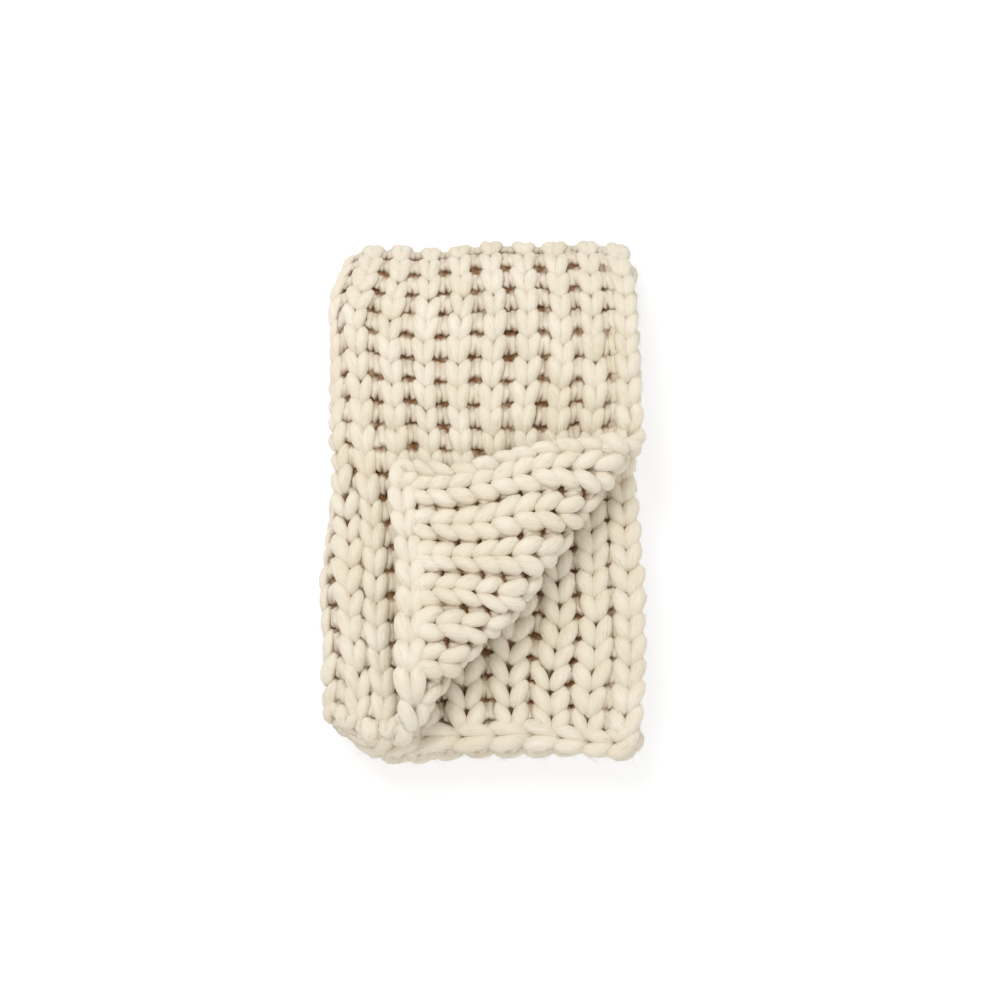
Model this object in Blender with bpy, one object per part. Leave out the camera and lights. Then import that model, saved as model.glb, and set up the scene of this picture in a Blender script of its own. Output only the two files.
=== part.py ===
"""A chunky rib-knit throw blanket, folded in four with one corner of its upper ply turned back.

The throw is one piece of thick knitting, so it is one closed solid. Lengths are in metres, +Z is up,
+X is to the right and +Y points away, towards the fold that joins the upper and the lower half.
The knitting is laid out flat first: "across" runs over its width from one side edge to the other, and
"share" runs from 0 at its first edge to 1 at its last. It is then folded twice, and each fold is a
mapping of the flat cloth, so that the plies stay one continuous body.
"""

import math

import bpy
import numpy as np

# The throw, laid out flat.
FLAT_WIDTH = 0.900
FLAT_LENGTH = 1.540

# One-by-one rib: stitches that stand out on the face and on the back by turns. A rib's crest, the
# shoulder between two stitches and the valley are measured from the cloth's middle surface.
STITCHES = 36
SIDE_MARGIN = 0.006
STITCH_WIDTH = (FLAT_WIDTH - 2 * SIDE_MARGIN) / STITCHES
CREST = 0.018
SHOULDER = 0.014
VALLEY = 0.005

# The chain along each hem is a thick band, where the ribs fade out.
HEM_BAND = 0.030
HEM_HEIGHT = 0.0155

# All round its edge the cloth is rounded off: it thins to the rim's height, and ends a little past it.
RIM_HEIGHT = 0.010
RIM_REACH = 0.006
RIM_ROUND = 0.012
RIM_START = -0.010

# The air between neighbouring plies, and the distance between their middle surfaces.
PLY_GAP = 0.003
PLY_STEP = 2 * CREST + PLY_GAP

# First fold, along the left side: two plies make a bundle.
SIDE_RADIUS = PLY_STEP / 2
PLY_WIDTH = (FLAT_WIDTH - math.pi * SIDE_RADIUS) / 2
HALF_WIDTH = (PLY_WIDTH + SIDE_RADIUS + CREST) / 2
RIGHT_EDGE = HALF_WIDTH

# Second fold, along the far end: the bundle is folded over on itself.
END_RADIUS = PLY_STEP
HALF_LENGTH = (FLAT_LENGTH - math.pi * END_RADIUS) / 2
LOWER_LONGER = 0.006
UPPER_STRAIGHT = HALF_LENGTH - LOWER_LONGER / 2
LOWER_STRAIGHT = HALF_LENGTH + LOWER_LONGER / 2
END_REACH = END_RADIUS + SIDE_RADIUS + CREST
END_CENTRE = (LOWER_STRAIGHT - END_REACH) / 2
END_FRONT = END_CENTRE + END_REACH
LOWEST_PLY = SHOULDER
STACK_CENTRE = LOWEST_PLY + SIDE_RADIUS + END_RADIUS
TOP_PLY = STACK_CENTRE + END_RADIUS + SIDE_RADIUS

# The outer ply of the bundle is a little short at its hem, and both hems rise towards the side fold.
HEM_STAGGER = 0.003
HEM_RISE = 0.042
HEM_RISE_WIDTH = 0.085

# The corner of the upper ply turns back over a slanting line. The line is where its roll shows,
# measured from the right edge and from the hem of the ply below.
TURN_UP_RIGHT = 0.418
TURN_IN_BOTTOM = 0.335
TURN_RADIUS = 0.026
TURN_SKEW = 0.31
TURN_SETTLE_LENGTH = 0.110

# How finely the solid is divided. Rows lie close together under the turned corner, and just past it.
PAST_CORNER = 0.020
HEM_STEPS = (0.0, 0.4, 1.0, 1.6)
FLAP_ROWS = 16
END_ROWS = 8
TOP_ROWS = 3
LOWER_ROWS = 3

# Soft unevenness of the whole stack. A row is: size, wavelength along X, Y and Z, and phase.
WAVES = {
    "x": ((0.0040, 0.90, 0.43, 0.30, 0.6), (0.0022, 0.35, 0.21, 0.18, 2.1)),
    "y": ((0.0045, 0.37, 1.10, 0.40, 1.9), (0.0025, 0.19, 0.50, 0.22, 0.4)),
    "z": ((0.0030, 0.33, 0.41, 9.00, 1.2), (0.0018, 0.17, 0.23, 9.00, 2.8)),
}

# Places where the stack is drawn in or stands out: centre, push and how far it reaches.
PULLS = (
    {"at": (-HALF_WIDTH, END_FRONT), "push": (0.022, -0.026), "reach": 0.085},
    {"at": (-HALF_WIDTH, -0.150), "push": (-0.009, 0.0), "reach": 0.150},
)

# The middle of the stack stands higher than its rim. Both this and the waves fade out near the ground.
CROWN = 0.05
CROWN_ACROSS = 0.60
CROWN_ALONG = 0.14
GROUND_BLEND = 0.070

# The stack is pressed thinner towards its end fold: by this share, over this length.
END_PRESS = 0.28
END_PRESS_LENGTH = 0.150

# The settled stack moves by this much, so that the origin lies under the middle of its box.
ORIGIN_SHIFT = (-0.0003, 0.0053)

WOOL_COLOUR = (0.85, 0.77, 0.63, 1.0)
WOOL_ROUGHNESS = 0.95


def smooth_step(value, low, high):
    """0 below low, 1 above high, and a soft change between them."""
    t = np.clip((value - low) / (high - low), 0.0, 1.0)
    return t * t * (3.0 - 2.0 * t)


def clear_scene():
    """Removes whatever the scene holds at the start."""
    for obj in list(bpy.data.objects):
        bpy.data.objects.remove(obj, do_unlink=True)


def across_stations():
    """The flat cloth's columns: its side edges, each stitch's middle and each place between two stitches."""
    middles = SIDE_MARGIN + STITCH_WIDTH * (np.arange(STITCHES) + 0.5)
    between = SIDE_MARGIN + STITCH_WIDTH * np.arange(1, STITCHES)
    return np.sort(np.concatenate([[0.0], middles, between, [FLAT_WIDTH]]))


def share_stations():
    """The flat cloth's rows, close together at the hems, under the turned corner and round the end fold."""
    hem = np.array(HEM_STEPS) * HEM_BAND / FLAT_LENGTH
    flap_end = (TURN_UP_RIGHT + PAST_CORNER) / FLAT_LENGTH
    outer_turn = math.pi * (END_RADIUS + SIDE_RADIUS)
    outer_length = UPPER_STRAIGHT + outer_turn + LOWER_STRAIGHT
    fold_start = UPPER_STRAIGHT / outer_length
    fold_end = (UPPER_STRAIGHT + outer_turn) / outer_length
    stretches = (
        np.linspace(hem[-1], flap_end, FLAP_ROWS + 1)[1:],
        np.linspace(flap_end, fold_start, TOP_ROWS + 1)[1:],
        np.linspace(fold_start, fold_end, END_ROWS + 1)[1:],
        np.linspace(fold_end, 1.0 - hem[-1], LOWER_ROWS + 1)[1:],
        1.0 - hem[-2::-1],
    )
    return np.concatenate([hem, *stretches])


def rib_height(across, share, face):
    """How far the cloth stands out from its middle surface, on its face (+1) or on its back (-1)."""
    stitch = (across - SIDE_MARGIN) / STITCH_WIDTH - 0.5
    wave = np.cos(math.pi * stitch) * face
    rib = np.where(wave > 0, SHOULDER + (CREST - SHOULDER) * wave, SHOULDER + (SHOULDER - VALLEY) * wave)
    from_hem = FLAT_LENGTH * np.minimum(share, 1.0 - share)
    at_hem = 1.0 - smooth_step(from_hem, 0.5 * HEM_BAND, 1.5 * HEM_BAND)
    height = rib + (HEM_HEIGHT - rib) * at_hem
    outermost = np.minimum(from_hem, np.minimum(across, FLAT_WIDTH - across))
    return RIM_HEIGHT + (height - RIM_HEIGHT) * smooth_step(outermost, RIM_START, RIM_ROUND)


def fold_side(across, height):
    """The first fold. Gives x, the distance from the bundle's middle, and that of the cloth's own middle."""
    turn = np.clip((across - PLY_WIDTH) / SIDE_RADIUS, 0.0, math.pi)
    past = np.maximum(across - PLY_WIDTH - math.pi * SIDE_RADIUS, 0.0)
    short = np.minimum(across, PLY_WIDTH)
    x = RIGHT_EDGE - short + past - (SIDE_RADIUS + height) * np.sin(turn)
    middle = SIDE_RADIUS * np.cos(turn)
    return x, middle + height * np.cos(turn), middle


def hem_shift(x, middle):
    """How far a hem lies short of its usual place: more on the outer ply and towards the side fold."""
    near_fold = 1.0 - smooth_step(x, -HALF_WIDTH, -HALF_WIDTH + HEM_RISE_WIDTH)
    return HEM_STAGGER * middle / SIDE_RADIUS + HEM_RISE * near_fold


def fold_end(x, offset, middle, share):
    """The second fold. Gives y, z, and how much straight cloth is left before the bend."""
    shift = hem_shift(x, middle)
    upper = UPPER_STRAIGHT - shift
    lower = LOWER_STRAIGHT - shift
    radius = END_RADIUS + middle
    run = share * (upper + math.pi * radius + lower)
    turn = np.clip((run - upper) / radius, 0.0, math.pi)
    before = np.maximum(upper - run, 0.0)
    after = np.maximum(run - upper - math.pi * radius, 0.0)
    y = END_CENTRE - before - after + (END_RADIUS + offset) * np.sin(turn)
    z = STACK_CENTRE + (END_RADIUS + offset) * np.cos(turn)
    return y, z, before


def turn_line():
    """The turned corner's slanting line: a point on it, its way down to the left, and its outer side."""
    hem = END_CENTRE - UPPER_STRAIGHT - HEM_STAGGER
    upper_end = np.array([RIGHT_EDGE, hem + TURN_UP_RIGHT])
    lower_end = np.array([RIGHT_EDGE - TURN_IN_BOTTOM, hem])
    along = (lower_end - upper_end) / np.linalg.norm(lower_end - upper_end)
    outward = np.array([-along[1], along[0]])
    start = upper_end - outward * (TURN_RADIUS + CREST)
    return start, along, outward


def turn_corner(x, y, height):
    """Rolls the corner of the upper ply up and back over itself. Gives x, y and z."""
    start, along, outward = turn_line()
    beyond = (x - start[0]) * outward[0] + (y - start[1]) * outward[1]
    lengthwise = (x - start[0]) * along[0] + (y - start[1]) * along[1]
    roll = math.pi * TURN_RADIUS
    turn = np.clip(beyond / TURN_RADIUS, 0.0, math.pi)
    flat_again = np.maximum(beyond - roll, 0.0)
    skew = np.where(beyond < roll, np.maximum(beyond, 0.0) ** 2 / (2 * roll), beyond - roll / 2)
    lengthwise = lengthwise - TURN_SKEW * skew
    reach = np.minimum(beyond, 0.0) + (TURN_RADIUS - height) * np.sin(turn) - flat_again
    sunk = (2 * TURN_RADIUS - PLY_STEP) * smooth_step(flat_again, 0.0, TURN_SETTLE_LENGTH)
    z = TOP_PLY + TURN_RADIUS * (1.0 - np.cos(turn)) + height * np.cos(turn) - sunk
    new_x = start[0] + outward[0] * reach + along[0] * lengthwise
    new_y = start[1] + outward[1] * reach + along[1] * lengthwise
    return new_x, new_y, z


def settle(points):
    """The soft unevenness of a real stack. Its underside stays flat on what it lies on."""
    x, y, z = points[..., 0].copy(), points[..., 1].copy(), points[..., 2].copy()
    lift = smooth_step(z, 0.0, GROUND_BLEND)
    moved = points.copy()
    for axis, name in enumerate("xyz"):
        for size, wave_x, wave_y, wave_z, phase in WAVES[name]:
            angle = 2 * math.pi * (x / wave_x + y / wave_y + z / wave_z) + phase
            moved[..., axis] += size * np.sin(angle) * (lift if name == "z" else 1.0)
    for pull in PULLS:
        distance = np.hypot(x - pull["at"][0], y - pull["at"][1])
        weight = np.exp(-((distance / pull["reach"]) ** 2))
        moved[..., 0] += pull["push"][0] * weight
        moved[..., 1] += pull["push"][1] * weight
    rim = CROWN_ACROSS * (x / HALF_WIDTH) ** 2 + CROWN_ALONG * (y / HALF_WIDTH) ** 2
    moved[..., 2] += z * CROWN * (0.5 - rim) * lift
    moved[..., 2] *= 1.0 - END_PRESS * smooth_step(y, END_FRONT - END_PRESS_LENGTH, END_FRONT)
    moved[..., 2] = np.maximum(moved[..., 2], 0.0)
    moved[..., 0] += ORIGIN_SHIFT[0]
    moved[..., 1] += ORIGIN_SHIFT[1]
    return moved


def place(across, share, height):
    """Where a point of the flat cloth lies once the throw is folded, turned back and settled."""
    x, offset, middle = fold_side(across, height)
    y, z, before = fold_end(x, offset, middle, share)
    turned_x, turned_y, turned_z = turn_corner(x, y, height)
    start, _, outward = turn_line()
    beyond = (x - start[0]) * outward[0] + (y - start[1]) * outward[1]
    in_corner = (across < PLY_WIDTH) & (before > 0.0) & (beyond > 0.0)
    x = np.where(in_corner, turned_x, x)
    y = np.where(in_corner, turned_y, y)
    z = np.where(in_corner, turned_z, z)
    return settle(np.stack([x, y, z], axis=-1))


def cloth_points(columns, rows):
    """Rings of points round the cloth's section, one ring for each row, and a line of points for each hem."""
    across, share = np.meshgrid(columns, rows)
    face = place(across, share, rib_height(across, share, 1))
    back = place(across, share, -rib_height(across, share, -1))
    flat = np.zeros(len(rows))
    left_rim = place(flat - RIM_REACH, rows, flat)[:, None]
    right_rim = place(flat + FLAT_WIDTH + RIM_REACH, rows, flat)[:, None]
    rings = np.concatenate([left_rim, face, right_rim, back[:, ::-1]], axis=1)
    reach = RIM_REACH / FLAT_LENGTH
    hem_line = np.zeros(len(columns))
    first = place(columns, hem_line - reach, hem_line)
    last = place(columns, hem_line + 1.0 + reach, hem_line)
    return rings, first, last


def hem_faces(ring_start, ring_size, line_start, count, flip):
    """Closes one hem: each edge of the end ring is joined to the line of points that runs inside the hem."""
    faces = []
    inner = [0, *range(count), count - 1, *range(count - 1, -1, -1)]
    for k in range(ring_size):
        here, there = ring_start + k, ring_start + (k + 1) % ring_size
        near, far = line_start + inner[k], line_start + inner[(k + 1) % ring_size]
        face = [here, there, near] if near == far else [here, there, far, near]
        faces.append(face[::-1] if flip else face)
    return faces


def cloth_faces(row_count, column_count):
    """The closed skin: bands between neighbouring rings, and the two hems."""
    size = 2 * column_count + 2
    faces = []
    for row in range(row_count - 1):
        for k in range(size):
            here, there = row * size + k, row * size + (k + 1) % size
            faces.append([here, here + size, there + size, there])
    lines = row_count * size
    faces += hem_faces(0, size, lines, column_count, flip=False)
    faces += hem_faces((row_count - 1) * size, size, lines + column_count, column_count, flip=True)
    return faces


def wool_material():
    """Thick cream wool."""
    material = bpy.data.materials.new("cream_wool")
    material.use_nodes = True
    shader = material.node_tree.nodes["Principled BSDF"]
    shader.inputs["Base Color"].default_value = WOOL_COLOUR
    shader.inputs["Roughness"].default_value = WOOL_ROUGHNESS
    shader.inputs["Metallic"].default_value = 0.0
    return material


def make_throw():
    """The whole folded throw as one object."""
    columns, rows = across_stations(), share_stations()
    rings, first, last = cloth_points(columns, rows)
    points = np.concatenate([rings.reshape(-1, 3), first, last])
    mesh = bpy.data.meshes.new("throw")
    mesh.from_pydata([tuple(p) for p in points.tolist()], [], cloth_faces(len(rows), len(columns)))
    mesh.materials.append(wool_material())
    mesh.shade_smooth()
    mesh.validate()
    throw = bpy.data.objects.new("throw", mesh)
    bpy.context.scene.collection.objects.link(throw)
    return throw


clear_scene()
make_throw()
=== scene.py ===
# %% [markdown]
# A chunky knitted throw
#
# The throw is one long piece of thick, softly spun yarn, knitted in one-by-one rib, folded in four and
# laid down with one corner of its top ply turned back. A smooth cloth with a knit pattern painted on
# it would look flat from the side and have no holes, so here the yarn itself is modelled. Its path is
# worked out stitch by stitch on the flat cloth, carried through the folds, and given its thickness by
# Geometry Nodes.

# %% Load the folded solid that everything is fitted to
import math

import bpy
import numpy as np
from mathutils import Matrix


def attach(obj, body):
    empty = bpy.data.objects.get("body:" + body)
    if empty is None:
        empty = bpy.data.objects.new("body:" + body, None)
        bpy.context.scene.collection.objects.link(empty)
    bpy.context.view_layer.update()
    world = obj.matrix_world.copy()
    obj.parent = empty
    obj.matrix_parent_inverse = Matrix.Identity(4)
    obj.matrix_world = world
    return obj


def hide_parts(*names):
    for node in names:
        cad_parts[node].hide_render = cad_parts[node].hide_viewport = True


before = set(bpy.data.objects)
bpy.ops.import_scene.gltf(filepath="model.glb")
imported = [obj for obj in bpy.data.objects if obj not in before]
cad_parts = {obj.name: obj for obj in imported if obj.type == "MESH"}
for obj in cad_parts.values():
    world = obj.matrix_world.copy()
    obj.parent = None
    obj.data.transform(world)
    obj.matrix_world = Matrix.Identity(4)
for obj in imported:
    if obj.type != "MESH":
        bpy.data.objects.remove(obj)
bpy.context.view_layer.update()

# %% [markdown]
# The flat cloth
#
# A knitted cloth is a grid: stitches across, rows along. In one-by-one rib each column of stitches
# either stands out on the face, where its loops look like a chain of V shapes, or sinks back and
# stands out on the other side. All sizes here are those of the cloth as it came off the needles.

# %% The sizes of the flat cloth
FLAT_WIDTH = 0.900
FLAT_LENGTH = 1.540
STITCHES = 36
SIDE_MARGIN = 0.006
STITCH_WIDTH = (FLAT_WIDTH - 2 * SIDE_MARGIN) / STITCHES
HEM_BAND = 0.028
ROWS = 43
ROW_HEIGHT = (FLAT_LENGTH - 2 * HEM_BAND) / ROWS
print(f"{STITCHES} stitches of {STITCH_WIDTH * 1000:.1f} mm, {ROWS} rows of {ROW_HEIGHT * 1000:.1f} mm")

# %% [markdown]
# The folds
#
# The real throw is folded along its left side, then over its far end, and one corner is turned back.
# Each fold is a function from the flat cloth to where it lies. A point of the flat cloth has three
# numbers: across its width, its share of the length, and its height over the cloth's middle surface.
# The same functions shape the solid, so the yarn follows it through every fold.

# %% The sizes of the folds
PLY_STEP = 0.039
SIDE_RADIUS = PLY_STEP / 2
PLY_WIDTH = (FLAT_WIDTH - math.pi * SIDE_RADIUS) / 2
CREST = 0.018
HALF_WIDTH = (PLY_WIDTH + SIDE_RADIUS + CREST) / 2
RIGHT_EDGE = HALF_WIDTH
END_RADIUS = PLY_STEP
HALF_LENGTH = (FLAT_LENGTH - math.pi * END_RADIUS) / 2
LOWER_LONGER = 0.006
UPPER_STRAIGHT = HALF_LENGTH - LOWER_LONGER / 2
LOWER_STRAIGHT = HALF_LENGTH + LOWER_LONGER / 2
END_REACH = END_RADIUS + SIDE_RADIUS + CREST
END_CENTRE = (LOWER_STRAIGHT - END_REACH) / 2
END_FRONT = END_CENTRE + END_REACH
LOWEST_PLY = 0.014
STACK_CENTRE = LOWEST_PLY + SIDE_RADIUS + END_RADIUS
TOP_PLY = STACK_CENTRE + END_RADIUS + SIDE_RADIUS
HEM_STAGGER = 0.003
HEM_RISE = 0.042
HEM_RISE_WIDTH = 0.085
TURN_UP_RIGHT = 0.418
TURN_IN_BOTTOM = 0.335
TURN_RADIUS = 0.026
TURN_SKEW = 0.31
TURN_SETTLE_LENGTH = 0.110
print(f"a ply is {PLY_WIDTH:.3f} m wide, and the middle of the top one lies {TOP_PLY:.3f} m up")


def smooth_step(value, low, high):
    """0 below low, 1 above high, and a soft change between them."""
    t = np.clip((value - low) / (high - low), 0.0, 1.0)
    return t * t * (3.0 - 2.0 * t)


# %% The side fold and the end fold
def fold_side(across, height):
    """The first fold. Gives x, the distance from the bundle's middle, and that of the cloth's own middle."""
    turn = np.clip((across - PLY_WIDTH) / SIDE_RADIUS, 0.0, math.pi)
    past = np.maximum(across - PLY_WIDTH - math.pi * SIDE_RADIUS, 0.0)
    short = np.minimum(across, PLY_WIDTH)
    x = RIGHT_EDGE - short + past - (SIDE_RADIUS + height) * np.sin(turn)
    middle = SIDE_RADIUS * np.cos(turn)
    return x, middle + height * np.cos(turn), middle


def hem_shift(x, middle):
    """How far a hem lies short of its usual place: more on the outer ply and towards the side fold."""
    near_fold = 1.0 - smooth_step(x, -HALF_WIDTH, -HALF_WIDTH + HEM_RISE_WIDTH)
    return HEM_STAGGER * middle / SIDE_RADIUS + HEM_RISE * near_fold


def fold_end(x, offset, middle, share):
    """The second fold. Gives y, z, and how much straight cloth is left before the bend."""
    shift = hem_shift(x, middle)
    upper = UPPER_STRAIGHT - shift
    lower = LOWER_STRAIGHT - shift
    radius = END_RADIUS + middle
    run = share * (upper + math.pi * radius + lower)
    turn = np.clip((run - upper) / radius, 0.0, math.pi)
    before = np.maximum(upper - run, 0.0)
    after = np.maximum(run - upper - math.pi * radius, 0.0)
    y = END_CENTRE - before - after + (END_RADIUS + offset) * np.sin(turn)
    z = STACK_CENTRE + (END_RADIUS + offset) * np.cos(turn)
    return y, z, before


print(f"the middle of the cloth turns round the side fold at x = {fold_side(FLAT_WIDTH / 2, 0.0)[0]:.3f} m")

# %% The turned-back corner
def turn_line():
    """The turned corner's slanting line: a point on it, its way down to the left, and its outer side."""
    hem = END_CENTRE - UPPER_STRAIGHT - HEM_STAGGER
    upper_end = np.array([RIGHT_EDGE, hem + TURN_UP_RIGHT])
    lower_end = np.array([RIGHT_EDGE - TURN_IN_BOTTOM, hem])
    along = (lower_end - upper_end) / np.linalg.norm(lower_end - upper_end)
    outward = np.array([-along[1], along[0]])
    start = upper_end - outward * (TURN_RADIUS + CREST)
    return start, along, outward


def turn_corner(x, y, height):
    """Rolls the corner of the upper ply up and back over itself. Gives x, y and z."""
    start, along, outward = turn_line()
    beyond = (x - start[0]) * outward[0] + (y - start[1]) * outward[1]
    lengthwise = (x - start[0]) * along[0] + (y - start[1]) * along[1]
    roll = math.pi * TURN_RADIUS
    turn = np.clip(beyond / TURN_RADIUS, 0.0, math.pi)
    flat_again = np.maximum(beyond - roll, 0.0)
    skew = np.where(beyond < roll, np.maximum(beyond, 0.0) ** 2 / (2 * roll), beyond - roll / 2)
    lengthwise = lengthwise - TURN_SKEW * skew
    reach = np.minimum(beyond, 0.0) + (TURN_RADIUS - height) * np.sin(turn) - flat_again
    sunk = (2 * TURN_RADIUS - PLY_STEP) * smooth_step(flat_again, 0.0, TURN_SETTLE_LENGTH)
    z = TOP_PLY + TURN_RADIUS * (1.0 - np.cos(turn)) + height * np.cos(turn) - sunk
    new_x = start[0] + outward[0] * reach + along[0] * lengthwise
    new_y = start[1] + outward[1] * reach + along[1] * lengthwise
    return new_x, new_y, z


def fold(across, share, height):
    """Where a point of the flat cloth lies once the throw is folded and its corner is turned back."""
    x, offset, middle = fold_side(across, height)
    y, z, before = fold_end(x, offset, middle, share)
    turned_x, turned_y, turned_z = turn_corner(x, y, height)
    start, _, outward = turn_line()
    beyond = (x - start[0]) * outward[0] + (y - start[1]) * outward[1]
    in_corner = (across < PLY_WIDTH) & (before > 0.0) & (beyond > 0.0)
    x = np.where(in_corner, turned_x, x)
    y = np.where(in_corner, turned_y, y)
    z = np.where(in_corner, turned_z, z)
    return np.stack([x, y, z], axis=-1)


print(f"the slanting fold's outer line is {math.hypot(TURN_UP_RIGHT, TURN_IN_BOTTOM):.3f} m long")

# %% [markdown]
# Settling
#
# Nothing soft lies in straight lines. The folded stack is pushed a little out of true by long waves,
# drawn in at both far corners, bulged at its left side, domed in the middle and pressed thinner towards
# the fold. The solid has a stronger draw at its far left corner and a stronger bulge, and no draw at its
# far right corner. All this is applied to the finished yarn surface, not to its path, so that yarn is
# squashed where the stack is squashed, and is flat where it lies on the ground.

# %% How the stack settles
# Each wave: how far it moves the cloth, its length along x, y and z, and its phase.
WAVES = {
    "x": ((0.0040, 0.90, 0.43, 0.30, 0.6), (0.0022, 0.35, 0.21, 0.18, 2.1)),
    "y": ((0.0045, 0.37, 1.10, 0.40, 1.9), (0.0025, 0.19, 0.50, 0.22, 0.4)),
    "z": ((0.0030, 0.33, 0.41, 9.00, 1.2), (0.0018, 0.17, 0.23, 9.00, 2.8)),
}
PULLS = (
    {"at": (-HALF_WIDTH, END_FRONT), "push": (0.014, -0.010), "reach": 0.085},
    {"at": (HALF_WIDTH, END_FRONT), "push": (-0.003, -0.006), "reach": 0.045},
    {"at": (-HALF_WIDTH, -0.150), "push": (-0.004, 0.0), "reach": 0.150},
)
CROWN = 0.05
CROWN_ACROSS = 0.60
CROWN_ALONG = 0.14
CROWN_MIDDLE = 0.5
GROUND_BLEND = 0.070
END_PRESS = 0.28
END_PRESS_LENGTH = 0.150
ORIGIN_SHIFT = (-0.0003, 0.0053)


def settle(points):
    """The soft unevenness of a real stack. Its underside stays flat on what it lies on."""
    x, y, z = points[..., 0].copy(), points[..., 1].copy(), points[..., 2].copy()
    lift = smooth_step(z, 0.0, GROUND_BLEND)
    moved = points.copy()
    for axis, name in enumerate("xyz"):
        for size, wave_x, wave_y, wave_z, phase in WAVES[name]:
            angle = 2 * math.pi * (x / wave_x + y / wave_y + z / wave_z) + phase
            moved[..., axis] += size * np.sin(angle) * (lift if name == "z" else 1.0)
    for pull in PULLS:
        distance = np.hypot(x - pull["at"][0], y - pull["at"][1])
        weight = np.exp(-((distance / pull["reach"]) ** 2))
        moved[..., 0] += pull["push"][0] * weight
        moved[..., 1] += pull["push"][1] * weight
    rim = CROWN_ACROSS * (x / HALF_WIDTH) ** 2 + CROWN_ALONG * (y / HALF_WIDTH) ** 2
    moved[..., 2] += z * CROWN * (CROWN_MIDDLE - rim) * lift
    moved[..., 2] *= 1.0 - END_PRESS * smooth_step(y, END_FRONT - END_PRESS_LENGTH, END_FRONT)
    moved[..., 2] = np.maximum(moved[..., 2], 0.0)
    moved[..., 0] += ORIGIN_SHIFT[0]
    moved[..., 1] += ORIGIN_SHIFT[1]
    return moved


far_left_top = np.array([-HALF_WIDTH, END_FRONT, TOP_PLY])
moved_by = settle(far_left_top) - far_left_top
print("the far left top corner of the stack's box moves by, metres:", np.round(moved_by, 3).tolist())

# %% [markdown]
# One stitch
#
# A knitted stitch is a loop pulled through the loop below it. Its foot runs behind, its neck comes up
# through the loop below, its leg swells out in front, and its head bends back behind the next row's
# legs. A purl stitch is the same loop seen from behind. A short table holds the left half of the loop,
# and the right half is its mirror image.

# %% The loop as a table
# side: share of the stitch's width from its middle. up: share of the row's height from its middle.
# out: millimetres towards the face where the stitch stands out. thick: the yarn's radius there, in mm.
LOOP = (
    # name        side    up    out  thick
    ("foot",     -0.50, -1.02,  0.0,  6.6),
    ("neck",     -0.12, -1.14, -2.6,  6.4),
    ("throat",   -0.11, -0.67, -3.4,  6.6),
    ("rise",     -0.14, -0.53,  5.8,  8.3),
    ("swell",    -0.20, -0.32,  8.4,  9.7),
    ("belly",    -0.29, -0.06,  9.0, 10.6),
    ("shoulder", -0.38,  0.19,  8.0, 10.3),
    ("turn",     -0.43,  0.42,  4.2,  8.3),
    ("head",     -0.27,  0.60,  1.4,  6.0),
    ("crown",     0.00,  0.63,  5.5,  5.2),
)
MILLIMETRE = 0.001
POINTS_PER_STITCH = 20

# The stitches that stand out on the back lie closer and are fuller than those of the face.
BACK_WIDER = 1.44
BACK_FULLER = 1.19


def half_loop():
    """The table's numbers as rows of side, up, out and thick."""
    return np.array([row[1:] for row in LOOP])


def whole_loop():
    """Foot to crown, and mirrored down to just before the next foot."""
    left = half_loop()
    right = left[-2:0:-1] * np.array([-1.0, 1.0, 1.0, 1.0])
    return np.concatenate([left, right])


print("control points in one loop:", len(whole_loop()))


# %% Unevenness of hand knitting
SEED = 27
rng = np.random.default_rng(SEED)
STITCH_JITTER = rng.normal(0.0, 1.0, (ROWS + 2, STITCHES, 6))
COLUMN_JITTER = rng.normal(0.0, 1.0, STITCHES)
JITTER = {"width": 0.07, "along": 0.0016, "height": 0.11, "thick": 0.055, "column": 0.0017}
LEG_JITTER = {"side": 0.030, "up": 0.035}
SWAY = 0.0014
DRIFT = 0.0022

# Each ripple: its share, how fast it turns along and across the cloth, and its phase.
SWAY_RIPPLES = ((1.0, 17.0, 4.0, 1.1), (0.5, 39.0, -9.0, 0.0))
DRIFT_RIPPLES = ((1.0, 5.0, 21.0, 0.4), (0.6, -13.0, 47.0, 2.0))


def ripple(rows, across, along):
    """The sum of a few soft waves over the flat cloth."""
    return sum(
        share * np.sin(along * turn_along + across * turn_across + phase)
        for share, turn_along, turn_across, phase in rows
    )


def drift(across, along):
    """Columns sway and rows wander a little, as tension changes over the cloth. Gives two small shifts."""
    return SWAY * ripple(SWAY_RIPPLES, across, along), DRIFT * ripple(DRIFT_RIPPLES, across, along)


print(f"stitches vary by {JITTER['width']:.0%} in width and {JITTER['height']:.0%} in how far they stand out")

# %% [markdown]
# One row of stitches
#
# A row is one unbroken run of yarn through all the loops, and at the edge it turns up into the next
# row. Control points from the table are joined by a smooth curve that passes through each of them.

# %% From control points to a smooth path
def smooth_path(controls, count):
    """Catmull-Rom curve through rows of numbers, sampled at count evenly spaced places."""
    padded = np.concatenate([controls[:1], controls, controls[-1:]])
    place = np.linspace(0, len(controls) - 1, count)
    first = np.minimum(place.astype(int), len(controls) - 2)
    t = (place - first)[:, None]
    a, b, c, d = (padded[first + k] for k in range(4))
    return 0.5 * (
        2 * b + (c - a) * t + (2 * a - 5 * b + 4 * c - d) * t**2 + (3 * b - a - 3 * c + d) * t**3
    )


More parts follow.
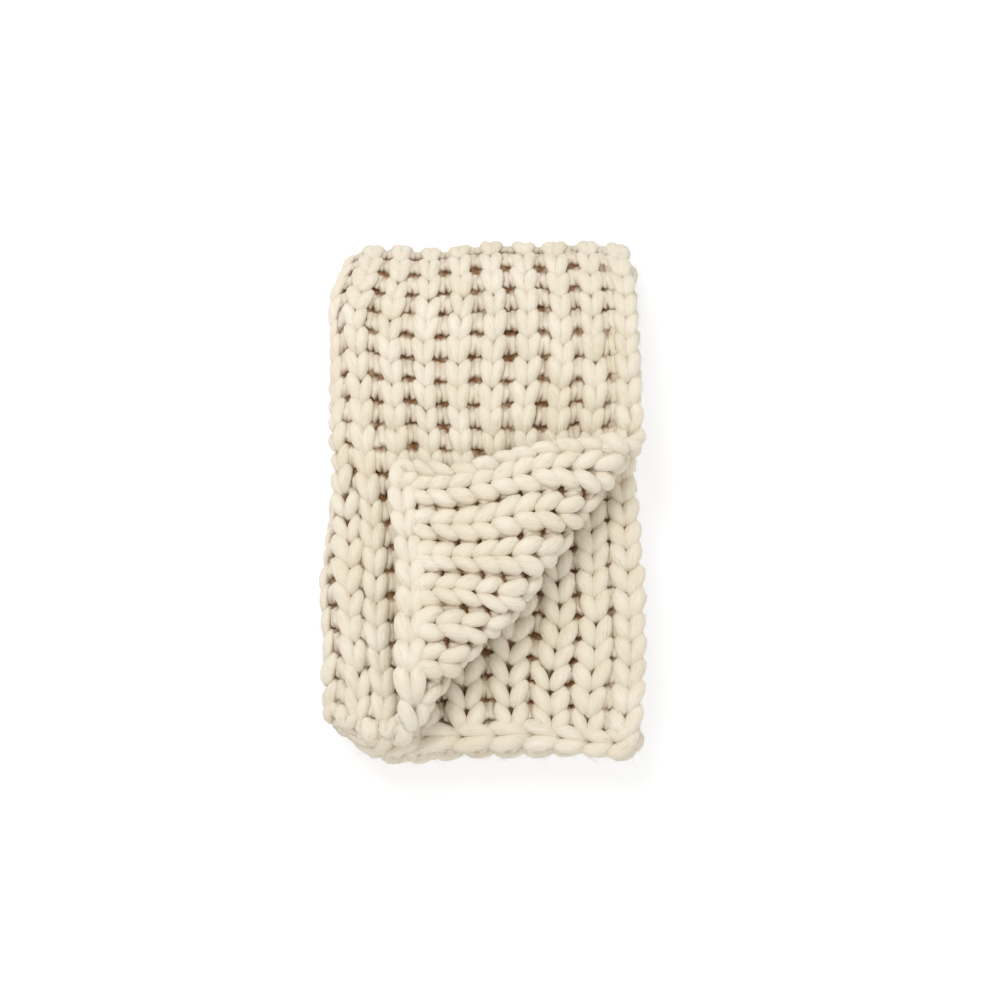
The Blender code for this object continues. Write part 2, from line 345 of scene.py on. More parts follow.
def row_controls(row):
    """Control points of one row in across, along, height and thick, from the first edge to the last."""
    loop = whole_loop()
    points = []
    for stitch in range(STITCHES):
        facing = 1.0 if stitch % 2 == 0 else -1.0
        wider, fuller = (1.0, 1.0) if facing > 0 else (BACK_WIDER, BACK_FULLER)
        nudge = STITCH_JITTER[row, stitch]
        own = np.abs(loop[:, 0]) < 0.5
        spread = loop[:, 0] * wider * (1 + JITTER["width"] * nudge[0]) + LEG_JITTER["side"] * nudge[4]
        side = np.where(own, spread, loop[:, 0])
        up = loop[:, 1] + LEG_JITTER["up"] * nudge[5] * np.sign(loop[:, 0]) * own
        across = SIDE_MARGIN + STITCH_WIDTH * (stitch + 0.5 + side)
        along = HEM_BAND + ROW_HEIGHT * (row + 0.5 + up)
        along = along + JITTER["along"] * nudge[1] + JITTER["column"] * COLUMN_JITTER[stitch]
        height = facing * loop[:, 2] * MILLIMETRE * (1 + JITTER["height"] * nudge[2])
        thick = loop[:, 3] * fuller * MILLIMETRE * (1 + JITTER["thick"] * nudge[3])
        sway, wander = drift(across, along)
        points.append(np.stack([across + sway, along + wander, height, thick], axis=1))
    _, foot_up, _, foot_thick = half_loop()[0]
    along = HEM_BAND + ROW_HEIGHT * (row + 0.5 + foot_up)
    end = [FLAT_WIDTH - SIDE_MARGIN, along, 0.0, foot_thick * MILLIMETRE]
    return np.concatenate([*points, [end]])


print("control points in one row:", len(row_controls(0)))

# %% The turn at the edge, and many rows in one run
EDGE_TURN = (
    # metres in from the edge, rows up, the yarn's radius in metres
    (0.0030, 0.12, 0.0078),
    (0.0055, 0.36, 0.0080),
    (0.0055, 0.62, 0.0080),
    (0.0030, 0.88, 0.0078),
)


def turn_controls(row, at_last_edge):
    """The strand that leads from one row up into the next, along the cloth's side edge."""
    edge = FLAT_WIDTH - SIDE_MARGIN if at_last_edge else SIDE_MARGIN
    way = -1.0 if at_last_edge else 1.0
    base = HEM_BAND + ROW_HEIGHT * (row + 0.5 + half_loop()[0][1])
    inwards, up, thick = np.array(EDGE_TURN).T
    return np.column_stack([edge + way * inwards, base + ROW_HEIGHT * up, 0.0 * up, thick])


def rows_path(first_row, last_row):
    """The yarn of several rows, knitted to and fro, as across, along, height and thick."""
    runs = []
    for row in range(first_row, last_row):
        forwards = row % 2 == 0
        controls = row_controls(row)
        runs.append(controls if forwards else controls[::-1])
        if row + 1 < last_row:
            runs.append(turn_controls(row, at_last_edge=forwards))
    controls = np.concatenate(runs)
    return smooth_path(controls, round(len(controls) * POINTS_PER_STITCH / len(whole_loop())))


print("points along the first two rows:", len(rows_path(0, 2)))

# %% [markdown]
# The chains along the hems
#
# The last row is bound off: each loop is drawn through its neighbour, which leaves a thick braid along
# the edge. It is a chain of loops like a column of stitches laid sideways, on the back of the cloth. The
# first edge has the same braid.

# %% The chain as a table
# side: millimetres from the chain's middle. on: share of a link. out: towards the cloth's back, in mm.
# thick: the yarn's radius there, in mm.
LINK = (
    # name         side    on   out  thick
    ("neck",       -3.0, -0.72, -3.0,  6.4),
    ("rise",       -3.8, -0.50,  2.4,  8.0),
    ("swell",      -6.2, -0.25,  8.6, 10.2),
    ("belly",      -9.2,  0.00, 10.8, 11.6),
    ("shoulder",  -11.6,  0.26, 10.0, 11.4),
    ("turn",      -11.6,  0.50,  5.0,  9.4),
    ("crown",       0.0,  0.66, -3.8,  6.4),
)

# The back of the chain, which lies on the cloth's face and leads from one link to the next.
BACK_BUMP = (
    ("over",      8.0, -0.54, -5.5,  8.8),
    ("lump",      0.0, -0.42, -8.5, 10.2),
    ("under",    -8.0, -0.22, -6.0,  9.6),
    ("next lump", 0.0,  0.00, -8.5, 10.2),
    ("over again", 7.5, 0.12, -5.5,  8.8),
)
LINKS = 24
LINK_LENGTH = FLAT_WIDTH / LINKS
CHAIN_IN = 0.0165
CORNER_START = 0.030
CORNER_RADIUS = 0.026
LINK_JITTER = rng.normal(0.0, 1.0, (2, LINKS, 3))
LINK_UNEVEN = {"place": 0.03, "side": 0.05, "thick": 0.03}
STEPS_PER_CONTROL = 2
print(f"{LINKS} links of {LINK_LENGTH * 1000:.1f} mm")


# %% The path of a chain
def round_corners(controls, at_last_hem):
    """At both ends of its hem the chain bends round the cloth's corner."""
    across, along = controls[:, 0].copy(), controls[:, 1].copy()
    centre = CHAIN_IN + CORNER_RADIUS
    hem_side = FLAT_LENGTH - along if at_last_hem else along
    reach = centre - hem_side
    for far_end in (False, True):
        inside = CORNER_START - (FLAT_WIDTH - across if far_end else across)
        turn = np.maximum(inside, 0.0) / CORNER_RADIUS
        bent = CORNER_START - reach * np.sin(turn)
        across = np.where(inside > 0.0, FLAT_WIDTH - bent if far_end else bent, across)
        hem_side = np.where(inside > 0.0, centre - reach * np.cos(turn), hem_side)
    along = FLAT_LENGTH - hem_side if at_last_hem else hem_side
    return np.column_stack([across, along, controls[:, 2:]])


def chain_path(at_last_hem):
    """The braid along one hem, as across, along, height and thick."""
    left = np.array([row[1:] for row in LINK])
    right = left[-2::-1] * np.array([-1.0, 1.0, 1.0, 1.0])
    link = np.concatenate([left, right, np.array([row[1:] for row in BACK_BUMP])])
    points = []
    for k in range(LINKS):
        nudge = LINK_JITTER[int(at_last_hem), k]
        across = FLAT_WIDTH - LINK_LENGTH * (k + 0.5 + link[:, 1] + LINK_UNEVEN["place"] * nudge[0])
        side = link[:, 0] * MILLIMETRE * (1 + LINK_UNEVEN["side"] * nudge[1])
        along = FLAT_LENGTH - CHAIN_IN + side if at_last_hem else CHAIN_IN + side
        height = -link[:, 2] * MILLIMETRE
        thick = link[:, 3] * MILLIMETRE * (1 + LINK_UNEVEN["thick"] * nudge[2])
        points.append(np.stack([across, along, height, thick], axis=1))
    controls = round_corners(np.concatenate(points), at_last_hem)
    return smooth_path(controls, STEPS_PER_CONTROL * len(controls))


print("chain points:", len(chain_path(False)))

# %% [markdown]
# Pulled and rolled
#
# Before it is folded, the cloth is not quite flat. Knitting rolls at its side edge, and on the turned
# corner the outer half of the last column rolls right over, so that it shows there as a neat chain.
# The columns of that corner are drawn together towards the hem, and spread like a fan from there. Its
# tip is pulled out a little further. Round the side fold the ribs close over the hollows between them.

# %% The sizes of the roll and the pull
ROLL_FROM = 0.018
ROLL_RADIUS = 0.0028
ROLL_TURN = 2.6
ROLL_OUT = 0.008
ROLL_OUT_ACROSS = 0.10
LEAST_ROLL = 0.001
TIP_OUT = 0.013
TIP_ACROSS = 0.20
GATHER = 0.048
GATHER_ACROSS = (0.385, 0.44, 0.80)
GATHER_ALONG = 0.60
FOLD_CLOSE = 0.012
FOLD_OPEN_AGAIN = (0.56, 0.86)

# Where along the cloth, in metres, the roll and the pull of the tip start, are full, fade and end.
ROLL_ALONG = (0.012, 0.050, 0.400, 0.480)
TIP_ALONG = (0.080, 0.270, 0.330, 0.410)

# The columns, counted from 0, that would show as hollows round the side fold.
FOLD_HOLLOWS = (17, 19, 21)
print(f"the side edge rolls from {ROLL_FROM * 1000:.0f} mm in, by up to {ROLL_TURN} radians")


# %% How the flat cloth is pulled and rolled
def roll_edge(across, along, height):
    """Rolls the first side edge towards the cloth's back. Gives the new across and height."""
    start, full, fade, end = ROLL_ALONG
    amount = smooth_step(along, start, full) * (1.0 - smooth_step(along, fade, end))
    inside = np.maximum(ROLL_FROM - across, 0.0)
    turn = np.minimum(inside / ROLL_RADIUS, ROLL_TURN) * amount
    radius = np.where(amount > LEAST_ROLL, ROLL_RADIUS / np.maximum(amount, LEAST_ROLL), 1.0)
    past = np.maximum(inside - ROLL_RADIUS * ROLL_TURN, 0.0)
    rolled_across = ROLL_FROM - (radius + height) * np.sin(turn) - past * np.cos(turn)
    rolled_height = (radius + height) * np.cos(turn) - radius - past * np.sin(turn)
    shift = ROLL_OUT * amount * (1.0 - smooth_step(across, 0.0, ROLL_OUT_ACROSS))
    start, full, fade, end = TIP_ALONG
    at_tip = smooth_step(along, start, full) * (1.0 - smooth_step(along, fade, end))
    shift = shift + TIP_OUT * at_tip * (1.0 - smooth_step(across, 0.0, TIP_ACROSS))
    reached = (inside > 0.0) & (amount > LEAST_ROLL)
    return np.where(reached, rolled_across, across) - shift, np.where(reached, rolled_height, height)


def gather(across, along):
    """Draws columns together: on the turned corner, most of all at the first hem, and at the side fold."""
    full, fade, end = GATHER_ACROSS
    drawn = np.sin(0.5 * math.pi * np.clip(across / full, 0.0, 1.0)) * (1.0 - smooth_step(across, fade, end))
    closed = 0.0
    for stitch in FOLD_HOLLOWS:
        start = SIDE_MARGIN + STITCH_WIDTH * stitch
        closed = closed + smooth_step(across, start, start + STITCH_WIDTH)
    closed = closed * (1.0 - smooth_step(across, *FOLD_OPEN_AGAIN))
    return across - GATHER * drawn * (1.0 - smooth_step(along, 0.0, GATHER_ALONG)) - FOLD_CLOSE * closed


halfway = GATHER_ACROSS[0] / 2
drawn_by = halfway - gather(halfway, 0.0)
print(f"at the first hem the column at {halfway:.3f} m moves {drawn_by:.3f} m towards the first side edge")

# %% [markdown]
# From path to yarn
#
# Geometry Nodes turn each path into a tube. The path comes in as a string of points with the yarn's
# thickness stored on them. Each point of the tube also keeps where it is on the yarn, round it and
# along it, so that the fibres can follow the twist.

# %% The yarn tree
YARN_SIDES = 12


def yarn_tree():
    """Points in, yarn out. Its inputs are the path, the sides round the yarn, and the material."""
    tree = bpy.data.node_groups.new("yarn_from_path", "GeometryNodeTree")
    face = tree.interface
    face.new_socket("Path", in_out="INPUT", socket_type="NodeSocketGeometry")
    sides = face.new_socket("Sides", in_out="INPUT", socket_type="NodeSocketInt")
    sides.default_value = YARN_SIDES
    face.new_socket("Wool", in_out="INPUT", socket_type="NodeSocketMaterial")
    face.new_socket("Yarn", in_out="OUTPUT", socket_type="NodeSocketGeometry")
    new, link = tree.nodes.new, tree.links.new
    start, end = new("NodeGroupInput"), new("NodeGroupOutput")
    curve = new("GeometryNodeMeshToCurve")
    link(start.outputs["Path"], curve.inputs["Mesh"])
    thick = new("GeometryNodeInputNamedAttribute")
    thick.data_type = "FLOAT"
    thick.inputs["Name"].default_value = "thick"
    radius = new("GeometryNodeSetCurveRadius")
    link(curve.outputs["Curve"], radius.inputs["Curve"])
    link(thick.outputs["Attribute"], radius.inputs["Radius"])
    distance = new("GeometryNodeSplineParameter")
    keep_length = new("GeometryNodeCaptureAttribute")
    keep_length.capture_items.new("FLOAT", "Length")
    link(radius.outputs["Curve"], keep_length.inputs["Geometry"])
    link(distance.outputs["Length"], keep_length.inputs["Length"])
    ring = new("GeometryNodeCurvePrimitiveCircle")
    ring.inputs["Radius"].default_value = 1.0
    link(start.outputs["Sides"], ring.inputs["Resolution"])
    around = new("GeometryNodeSplineParameter")
    keep_around = new("GeometryNodeCaptureAttribute")
    keep_around.capture_items.new("FLOAT", "Around")
    link(ring.outputs["Curve"], keep_around.inputs["Geometry"])
    link(around.outputs["Factor"], keep_around.inputs["Around"])
    tube = new("GeometryNodeCurveToMesh")
    tube.inputs["Fill Caps"].default_value = True
    link(keep_length.outputs["Geometry"], tube.inputs["Curve"])
    link(keep_around.outputs["Geometry"], tube.inputs["Profile Curve"])
    own_radius = new("GeometryNodeInputRadius")
    link(own_radius.outputs["Radius"], tube.inputs["Scale"])
    angle = new("ShaderNodeMath")
    angle.operation = "MULTIPLY"
    angle.inputs[1].default_value = 2 * math.pi
    link(keep_around.outputs["Around"], angle.inputs[0])
    place = new("ShaderNodeCombineXYZ")
    for operation, name in (("COSINE", "X"), ("SINE", "Y")):
        part = new("ShaderNodeMath")
        part.operation = operation
        link(angle.outputs[0], part.inputs[0])
        link(part.outputs[0], place.inputs[name])
    link(keep_length.outputs["Length"], place.inputs["Z"])
    store = new("GeometryNodeStoreNamedAttribute")
    store.data_type = "FLOAT_VECTOR"
    store.domain = "POINT"
    store.inputs["Name"].default_value = "on_yarn"
    link(tube.outputs["Mesh"], store.inputs["Geometry"])
    link(place.outputs["Vector"], store.inputs["Value"])
    smooth = new("GeometryNodeSetShadeSmooth")
    link(store.outputs["Geometry"], smooth.inputs["Geometry"])
    real = new("GeometryNodeRealizeInstances")
    link(smooth.outputs["Geometry"], real.inputs["Geometry"])
    wool = new("GeometryNodeSetMaterial")
    link(real.outputs["Geometry"], wool.inputs["Geometry"])
    link(start.outputs["Wool"], wool.inputs["Material"])
    link(wool.outputs["Geometry"], end.inputs["Yarn"])
    return tree


tree = yarn_tree()
print("nodes in the yarn tree:", len(tree.nodes))


# %% Two small helpers
def input_named(tree, name):
    """The identifier of a tree's input, which a modifier's values are set by."""
    return next(item.identifier for item in tree.interface.items_tree if item.name == name)


def read_attribute(mesh, name, size):
    """A mesh attribute's numbers, one row a point."""
    numbers = np.empty(len(mesh.vertices) * size, dtype=np.float32)
    mesh.attributes[name].data.foreach_get("vector" if size == 3 else "value", numbers)
    return numbers.reshape(-1, size).astype(float)


print("the tree's input for the sides is", input_named(tree, "Sides"))


# %% The folded path as strings of points
# Towards the cloth's rim, between these two distances from its edge, the painted brown shade of the hollows
# fades to this share.
RIM = (0.004, 0.060)
RIM_SHADE = 0.18
print(f"on the rim the brown falls to {RIM_SHADE:.0%}")


def path_mesh(name, paths):
    """The folded paths as strings of points, each with its thickness, height, centre and way out."""
    flat = []
    for across, along, height, thick in (path.T for path in paths):
        rolled = roll_edge(gather(across, along), along, height)
        to_side = np.minimum(across, FLAT_WIDTH - across)
        to_hem = np.minimum(along, FLAT_LENGTH - along)
        # inner scales the painted shade of the hollows down towards the rim.
        inner = RIM_SHADE + (1.0 - RIM_SHADE) * smooth_step(np.minimum(to_side, to_hem), *RIM)
        flat.append(np.column_stack([*rolled, along, thick, inner]))
    ends = np.cumsum([len(path) for path in flat])
    edges = [(k, k + 1) for k in range(ends[-1] - 1) if k + 1 not in ends]
    across, height, along, thick, inner = np.concatenate(flat).T
    share = along / FLAT_LENGTH
    centre = fold(across, share, height)
    outward = fold(across, share, height + MILLIMETRE) - fold(across, share, height - MILLIMETRE)
    outward /= np.linalg.norm(outward, axis=1)[:, None]
    line = bpy.data.meshes.new(name + "_path")
    line.from_pydata([tuple(p) for p in centre.tolist()], edges, [])
    line.attributes.new("thick", "FLOAT", "POINT").data.foreach_set("value", thick)
    line.attributes.new("height", "FLOAT", "POINT").data.foreach_set("value", height)
    line.attributes.new("inner", "FLOAT", "POINT").data.foreach_set("value", inner)
    line.attributes.new("centre", "FLOAT_VECTOR", "POINT").data.foreach_set("vector", centre.ravel())
    line.attributes.new("outward", "FLOAT_VECTOR", "POINT").data.foreach_set("vector", outward.ravel())
    return line


# %% How deep each point lies
def store_depth(mesh, surface):
    """Keeps how deep each point lies: 0 on a crest of either side, 1 in a hollow, and less on the rim."""
    height = read_attribute(mesh, "height", 1)[:, 0]
    from_centre = surface - read_attribute(mesh, "centre", 3)
    height = height + np.sum(from_centre * read_attribute(mesh, "outward", 3), axis=1)
    # The depth is the mask of the painted brown shade in the hollows, and the fibres start where it is small.
    deep = 1.0 - np.clip(np.abs(height) / CREST, 0.0, 1.0)
    deep = deep * read_attribute(mesh, "inner", 1)[:, 0]
    for name in ("height", "inner", "centre", "outward", "thick"):
        mesh.attributes.remove(mesh.attributes[name])
    mesh.attributes.new("deep", "FLOAT", "POINT").data.foreach_set("value", deep)


print(f"a point {CREST * 1000:.0f} mm or more from the cloth's middle counts as a crest")


# %% One piece of yarn
def sweep(line, tree, sides, material):
    """Runs the tree on strings of points and gives the plain mesh of yarn that comes out."""
    guide = bpy.data.objects.new(line.name, line)
    bpy.context.scene.collection.objects.link(guide)
    nodes = guide.modifiers.new("yarn", "NODES")
    nodes.node_group = tree
    nodes[input_named(tree, "Sides")] = sides
    nodes[input_named(tree, "Wool")] = material
    depsgraph = bpy.context.evaluated_depsgraph_get()
    mesh = bpy.data.meshes.new_from_object(guide.evaluated_get(depsgraph))
    bpy.data.objects.remove(guide, do_unlink=True)
    return mesh


def surface_points(mesh):
    """The mesh's points as rows of x, y and z."""
    numbers = np.empty(len(mesh.vertices) * 3, dtype=np.float32)
    mesh.vertices.foreach_get("co", numbers)
    return numbers.reshape(-1, 3).astype(float)


def add_piece(name, mesh):
    """Puts a finished mesh into the scene and says how fine it is."""
    mesh.name = name
    piece = bpy.data.objects.new(name, mesh)
    bpy.context.scene.collection.objects.link(piece)
    print(name, "has", sum(len(face.vertices) - 2 for face in mesh.polygons), "triangles")
    return piece


def make_yarn(name, paths, tree, material):
    """One piece: its paths are folded, swept into yarn by the tree, and settled."""
    mesh = sweep(path_mesh(name, paths), tree, YARN_SIDES, material)
    surface = surface_points(mesh)
    store_depth(mesh, surface)
    mesh.vertices.foreach_set("co", settle(surface).ravel())
    mesh.update()
    return add_piece(name, mesh)


# %% [markdown]
# The wool
#
# The yarn is a thick, barely twisted roving of cream wool. Its fibres run along it in a slow spiral,
# catch a little light, and stand off in a soft haze. The colour is a warm cream that varies slightly
# from place to place. Deep between the strands a brown is painted in as shade. The streaks are a node
# group that gives a mask and a height, and the shader itself stays in the material.

# %% The colours and ranges of the wool
WOOL_LIGHT = (0.890, 0.822, 0.694, 1.0)
WOOL_DARK = (0.785, 0.690, 0.530, 1.0)
# A painted shade: the brown mixed into the hollows between the strands, where shade falls.
PAINTED_HOLLOW_SHADE = (0.230, 0.098, 0.022, 1.0)
STREAK_RANGE = (0.10, 0.40)
# How deep a point must lie for the painted shade to start and to be full.
PAINTED_SHADE_RANGE = (0.34, 0.96)
CLOUD_SCALE = 14.0
CLOUD_DETAIL = 3.0
BUMP_STRENGTH = 0.8
BUMP_DISTANCE = 0.0030
print("wool, light and dark:", WOOL_LIGHT[:3], WOOL_DARK[:3])


# %% The streaks of the fibres
def fibre_group():
    """Streaks that follow the yarn's twist: a mask for colour and a height for bump."""
    group = bpy.data.node_groups.new("wool_fibres", "ShaderNodeTree")
    face = group.interface
    for name, value in (("Twist", 32.0), ("Streaks", 4.2), ("Stretch", 7.0)):
        socket = face.new_socket(name, in_out="INPUT", socket_type="NodeSocketFloat")
        socket.default_value = value
    face.new_socket("Mask", in_out="OUTPUT", socket_type="NodeSocketFloat")
    face.new_socket("Height", in_out="OUTPUT", socket_type="NodeSocketFloat")
    new, link = group.nodes.new, group.links.new
    start, end = new("NodeGroupInput"), new("NodeGroupOutput")
    place = new("ShaderNodeAttribute")
    place.attribute_name = "on_yarn"
    parts = new("ShaderNodeSeparateXYZ")
    link(place.outputs["Vector"], parts.inputs[0])
    spiral = new("ShaderNodeVectorRotate")
    spiral.rotation_type = "Z_AXIS"
    turn = new("ShaderNodeMath")
    turn.operation = "MULTIPLY"
    link(parts.outputs["Z"], turn.inputs[0])
    link(start.outputs["Twist"], turn.inputs[1])
    link(place.outputs["Vector"], spiral.inputs["Vector"])
    link(turn.outputs[0], spiral.inputs["Angle"])
    turned = new("ShaderNodeSeparateXYZ")
    link(spiral.outputs["Vector"], turned.inputs[0])
    along = new("ShaderNodeMath")
    along.operation = "MULTIPLY"
    link(parts.outputs["Z"], along.inputs[0])
    link(start.outputs["Stretch"], along.inputs[1])
    lie = new("ShaderNodeCombineXYZ")
    link(turned.outputs["X"], lie.inputs["X"])
    link(turned.outputs["Y"], lie.inputs["Y"])
    link(along.outputs[0], lie.inputs["Z"])
    streaks = new("ShaderNodeTexNoise")
    streaks.inputs["Detail"].default_value = 6.0
    streaks.inputs["Roughness"].default_value = 0.62
    link(lie.outputs["Vector"], streaks.inputs["Vector"])
    link(start.outputs["Streaks"], streaks.inputs["Scale"])
    link(streaks.outputs["Fac"], end.inputs["Mask"])
    link(streaks.outputs["Fac"], end.inputs["Height"])
    return group


wool_streaks = fibre_group()
print("nodes in the streaks:", len(wool_streaks.nodes))


# %% The wool material
def wool_material(fibres):
    """Cream roving: soft and matt, a little lighter on its streaks, and painted brown in the hollows as
    shade.
    """
    material = bpy.data.materials.new("cream_wool")
    material.use_nodes = True
    nodes, link = material.node_tree.nodes, material.node_tree.links.new
    shader = nodes["Principled BSDF"]
    shader.inputs["Roughness"].default_value = 0.92
    shader.inputs["Specular IOR Level"].default_value = 0.25
    shader.inputs["Sheen Weight"].default_value = 0.35
    shader.inputs["Sheen Roughness"].default_value = 0.45
    shader.inputs["Sheen Tint"].default_value = (1.0, 0.96, 0.88, 1.0)
    streaks = nodes.new("ShaderNodeGroup")
    streaks.node_tree = fibres
    cloudy = nodes.new("ShaderNodeTexNoise")
    cloudy.inputs["Scale"].default_value = CLOUD_SCALE
    cloudy.inputs["Detail"].default_value = CLOUD_DETAIL
    where = nodes.new("ShaderNodeTexCoord")
    link(where.outputs["Object"], cloudy.inputs["Vector"])
    both = nodes.new("ShaderNodeMath")
    both.operation = "MULTIPLY"
    link(streaks.outputs["Mask"], both.inputs[0])
    link(cloudy.outputs["Fac"], both.inputs[1])
    spread = nodes.new("ShaderNodeMapRange")
    spread.inputs["From Min"].default_value = STREAK_RANGE[0]
    spread.inputs["From Max"].default_value = STREAK_RANGE[1]
    link(both.outputs[0], spread.inputs["Value"])
    shade = nodes.new("ShaderNodeMix")
    shade.data_type = "RGBA"
    shade.inputs["A"].default_value = WOOL_DARK
    shade.inputs["B"].default_value = WOOL_LIGHT
    link(spread.outputs["Result"], shade.inputs["Factor"])
    # Painted shade: the deeper a point lies between the strands, the more brown is mixed into the wool
    # colour.
    deep = nodes.new("ShaderNodeAttribute")
    deep.attribute_name = "deep"
    hollow = nodes.new("ShaderNodeMapRange")
    hollow.interpolation_type = "SMOOTHSTEP"
    hollow.inputs["From Min"].default_value = PAINTED_SHADE_RANGE[0]
    hollow.inputs["From Max"].default_value = PAINTED_SHADE_RANGE[1]
    link(deep.outputs["Fac"], hollow.inputs["Value"])
    with_painted_shade = nodes.new("ShaderNodeMix")
    with_painted_shade.data_type = "RGBA"
    with_painted_shade.inputs["B"].default_value = PAINTED_HOLLOW_SHADE
    link(shade.outputs["Result"], with_painted_shade.inputs["A"])
    link(hollow.outputs["Result"], with_painted_shade.inputs["Factor"])
    link(with_painted_shade.outputs["Result"], shader.inputs["Base Color"])
    bump = nodes.new("ShaderNodeBump")
    bump.inputs["Strength"].default_value = BUMP_STRENGTH
    bump.inputs["Distance"].default_value = BUMP_DISTANCE
    link(streaks.outputs["Height"], bump.inputs["Height"])
    link(bump.outputs["Normal"], shader.inputs["Normal"])
    return material


wool = wool_material(wool_streaks)
print("nodes in the wool material:", len(wool.node_tree.nodes))

# %% [markdown]
# Knitting it
#
# The forty-three rows are made in four pieces, which keeps each mesh to a size that is easy to handle,
# and the two hem chains in a fifth. All of them stand for the one solid. Yarn tubes have several times
# the area of the flat cloth.

# %% Make the yarn
BANDS = ((0, 11), (11, 22), (22, 33), (33, ROWS))
pieces = []
for number, (first, last) in enumerate(BANDS, start=1):
    pieces.append(make_yarn(f"knitted_rows_{number}", [rows_path(first, last)], tree, wool))
pieces.append(make_yarn("hem_chains", [chain_path(False), chain_path(True)], tree, wool))
for piece in pieces:
    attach(piece, "root")
    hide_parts("throw")

# %% [markdown]
# Loose fibres
#
# Roving is hardly twisted, so single fibres stand off it all over and soften every outline. A hair
# system would be lost when the model is exported. Short bent strings of points, not a hair system, are
# scattered over the finished yarn, mostly along it, and the same tree gives them a little thickness.

# %% Root, middle and tip of each fibre
FIBRES_PER_PIECE = 2500
FIBRE_LENGTH = (0.006, 0.020)
FIBRE_LIFT = (0.10, 0.45)
FIBRE_SIDEWAYS = 0.45
FIBRE_RADIUS = 0.00016
FIBRE_SIDES = 3
FIBRE_TAPER = (1.0, 0.9, 0.4)
FIBRE_NOT_BELOW = 0.0004

# Fibres start where the yarn is shallower than this, and their middle is bent and arched by these shares.
FIBRE_SHALLOW = 0.30
FIBRE_MIDDLE = 0.5
FIBRE_BEND = 0.4
FIBRE_ARCH = 0.7
print(FIBRES_PER_PIECE, "fibres on each piece of yarn")


def fibre_points(mesh):
    """Root, middle and tip of fibres that leave a piece of yarn where it can be seen or touched."""
    surface = surface_points(mesh)
    normals = np.empty(len(mesh.vertices) * 3, dtype=np.float32)
    mesh.vertex_normals.foreach_get("vector", normals)
    normals = normals.reshape(-1, 3).astype(float)
    outer = np.flatnonzero(read_attribute(mesh, "deep", 1)[:-YARN_SIDES, 0] < FIBRE_SHALLOW)
    root = rng.choice(outer, FIBRES_PER_PIECE, replace=False)
    way = surface[root + YARN_SIDES] - surface[root]
    way /= np.maximum(np.linalg.norm(way, axis=1), 1e-6)[:, None]
    sideways = np.cross(way, normals[root]) * rng.normal(0.0, FIBRE_SIDEWAYS, (len(root), 1))
    length = rng.uniform(*FIBRE_LENGTH, (len(root), 1)) * rng.choice([-1.0, 1.0], (len(root), 1))
    lift = rng.uniform(*FIBRE_LIFT, (len(root), 1)) * np.abs(length)
    middle = surface[root] + FIBRE_MIDDLE * length * (way + FIBRE_BEND * sideways)
    middle = middle + FIBRE_ARCH * lift * normals[root]
    tip = surface[root] + length * (way + sideways) + lift * normals[root]
    return np.stack([surface[root], middle, tip], axis=1)


# %% Scatter the loose fibres
def make_fibres(name, yarn, tree, material):
    """One piece of loose fibres for all the yarn."""
    strings = np.concatenate([fibre_points(piece.data) for piece in yarn]).reshape(-1, 3)
    strings[:, 2] = np.maximum(strings[:, 2], FIBRE_NOT_BELOW)
    edges = [(k, k + 1) for k in range(len(strings) - 1) if k % 3 < 2]
    line = bpy.data.meshes.new(name + "_path")
    line.from_pydata([tuple(p) for p in strings.tolist()], edges, [])
    thick = np.tile(FIBRE_TAPER, len(strings) // len(FIBRE_TAPER)) * FIBRE_RADIUS
    line.attributes.new("thick", "FLOAT", "POINT").data.foreach_set("value", thick)
    mesh = sweep(line, tree, FIBRE_SIDES, material)
    mesh.attributes.remove(mesh.attributes["thick"])
    return add_piece(name, mesh)


fibres = make_fibres("loose_fibres", pieces, tree, wool)
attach(fibres, "root")

# %% [markdown]
# Ground, light and camera
#
# The throw lies on a white ground, lit softly from the upper left, and is seen from nearly straight
# above. A large lamp close by gives soft shadow edges, and a white surround fills the hollows.

# %% The ground
GROUND_SIZE = 12.0
GROUND_GLOW = 0.61
GROUND_GREY = 0.43
GROUND_LEVEL = -0.0004


def make_ground():
    """A white sheet under everything."""
    mesh = bpy.data.meshes.new("ground")
    half = GROUND_SIZE / 2
    corners = [(x, y, GROUND_LEVEL) for x, y in ((-half, -half), (half, -half), (half, half), (-half, half))]
    mesh.from_pydata(corners, [], [(0, 1, 2, 3)])
    paper = bpy.data.materials.new("white_ground")
    paper.use_nodes = True
    shader = paper.node_tree.nodes["Principled BSDF"]
    shader.inputs["Base Color"].default_value = (GROUND_GREY, GROUND_GREY, GROUND_GREY, 1.0)
    shader.inputs["Emission Color"].default_value = (1.0, 1.0, 1.0, 1.0)
    shader.inputs["Emission Strength"].default_value = GROUND_GLOW
    shader.inputs["Roughness"].default_value = 0.8
    shader.inputs["Specular IOR Level"].default_value = 0.1
    mesh.materials.append(paper)
    ground = bpy.data.objects.new("ground", mesh)
    bpy.context.scene.collection.objects.link(ground)


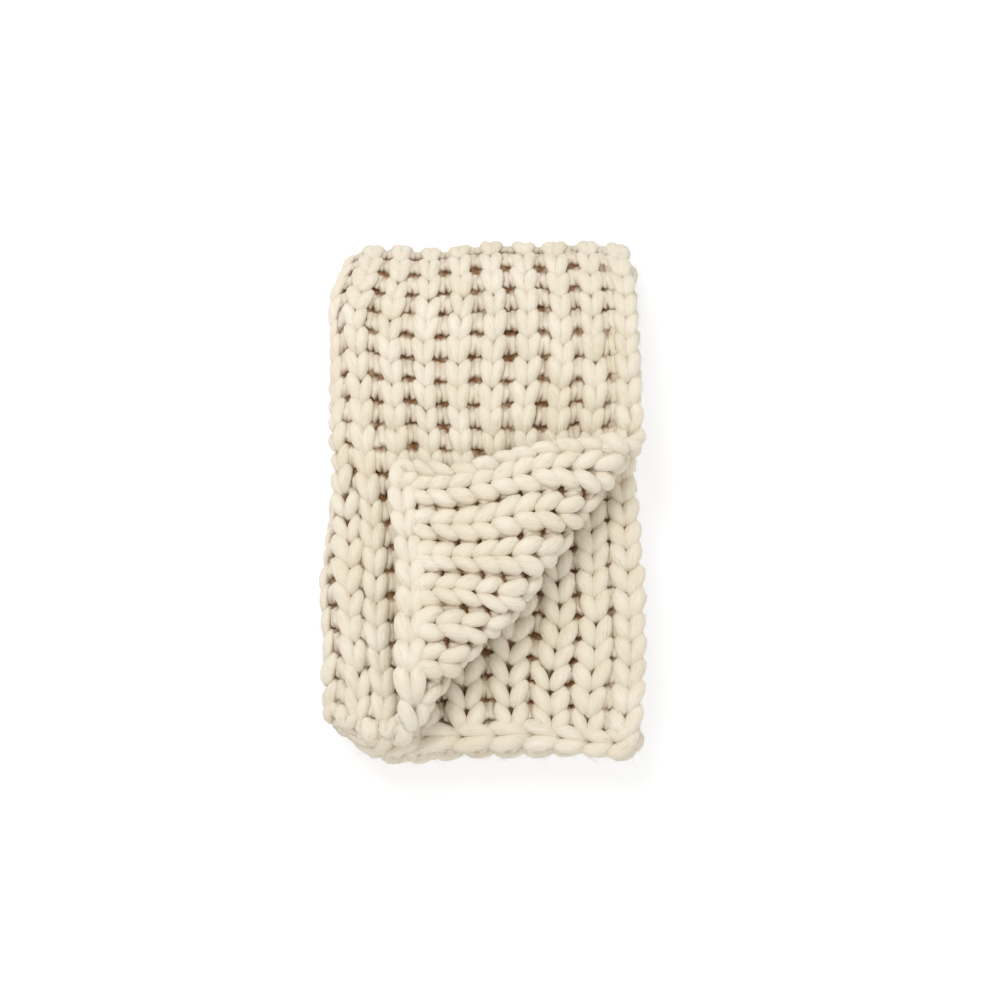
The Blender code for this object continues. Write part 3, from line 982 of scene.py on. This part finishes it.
make_ground()
print(f"the ground is {GROUND_SIZE:.0f} m wide")

# %% The lights
LAMPS = (
    {"name": "key", "at": (-0.8, 0.9, 2.6), "size": 1.3, "watts": 31.0},
    {"name": "fill", "at": (1.2, -1.2, 2.4), "size": 2.4, "watts": 10.0},
)
SURROUND = 0.73


def make_lights():
    """Soft lamps that look at the throw, and a white surround."""
    for lamp in LAMPS:
        data = bpy.data.lights.new(lamp["name"], "AREA")
        data.shape = "DISK"
        data.size = lamp["size"]
        data.energy = lamp["watts"]
        light = bpy.data.objects.new(lamp["name"], data)
        light.location = lamp["at"]
        aim = -light.location
        light.rotation_euler = aim.to_track_quat("-Z", "Y").to_euler()
        bpy.context.scene.collection.objects.link(light)
    world = bpy.data.worlds.new("surround")
    world.use_nodes = True
    background = world.node_tree.nodes["Background"]
    background.inputs["Color"].default_value = (1.0, 1.0, 1.0, 1.0)
    background.inputs["Strength"].default_value = SURROUND
    bpy.context.scene.world = world


make_lights()
print("lamps:", ", ".join(lamp["name"] for lamp in LAMPS))
bpy.context.scene.view_settings.view_transform = "Standard"

# %% The camera
CAMERA_ELEVATION = math.radians(78.0)
CAMERA_DISTANCE = 2.4
CAMERA_LENS = 57.7
CAMERA_SENSOR = 36.0
LOOK_AT = (0.0255, -0.0150, 0.0768)


def make_camera():
    """A camera nearly overhead, leaning back towards the hems."""
    camera = bpy.data.objects.new("camera", bpy.data.cameras.new("camera"))
    camera.data.lens = CAMERA_LENS
    camera.data.sensor_width = CAMERA_SENSOR
    camera.location = (
        LOOK_AT[0],
        LOOK_AT[1] - CAMERA_DISTANCE * math.cos(CAMERA_ELEVATION),
        LOOK_AT[2] + CAMERA_DISTANCE * math.sin(CAMERA_ELEVATION),
    )
    camera.rotation_euler = (math.pi / 2 - CAMERA_ELEVATION, 0.0, 0.0)
    bpy.context.scene.collection.objects.link(camera)
    bpy.context.scene.camera = camera


make_camera()
print(f"the camera looks down at {math.degrees(CAMERA_ELEVATION):.0f} degrees from {CAMERA_DISTANCE} m")
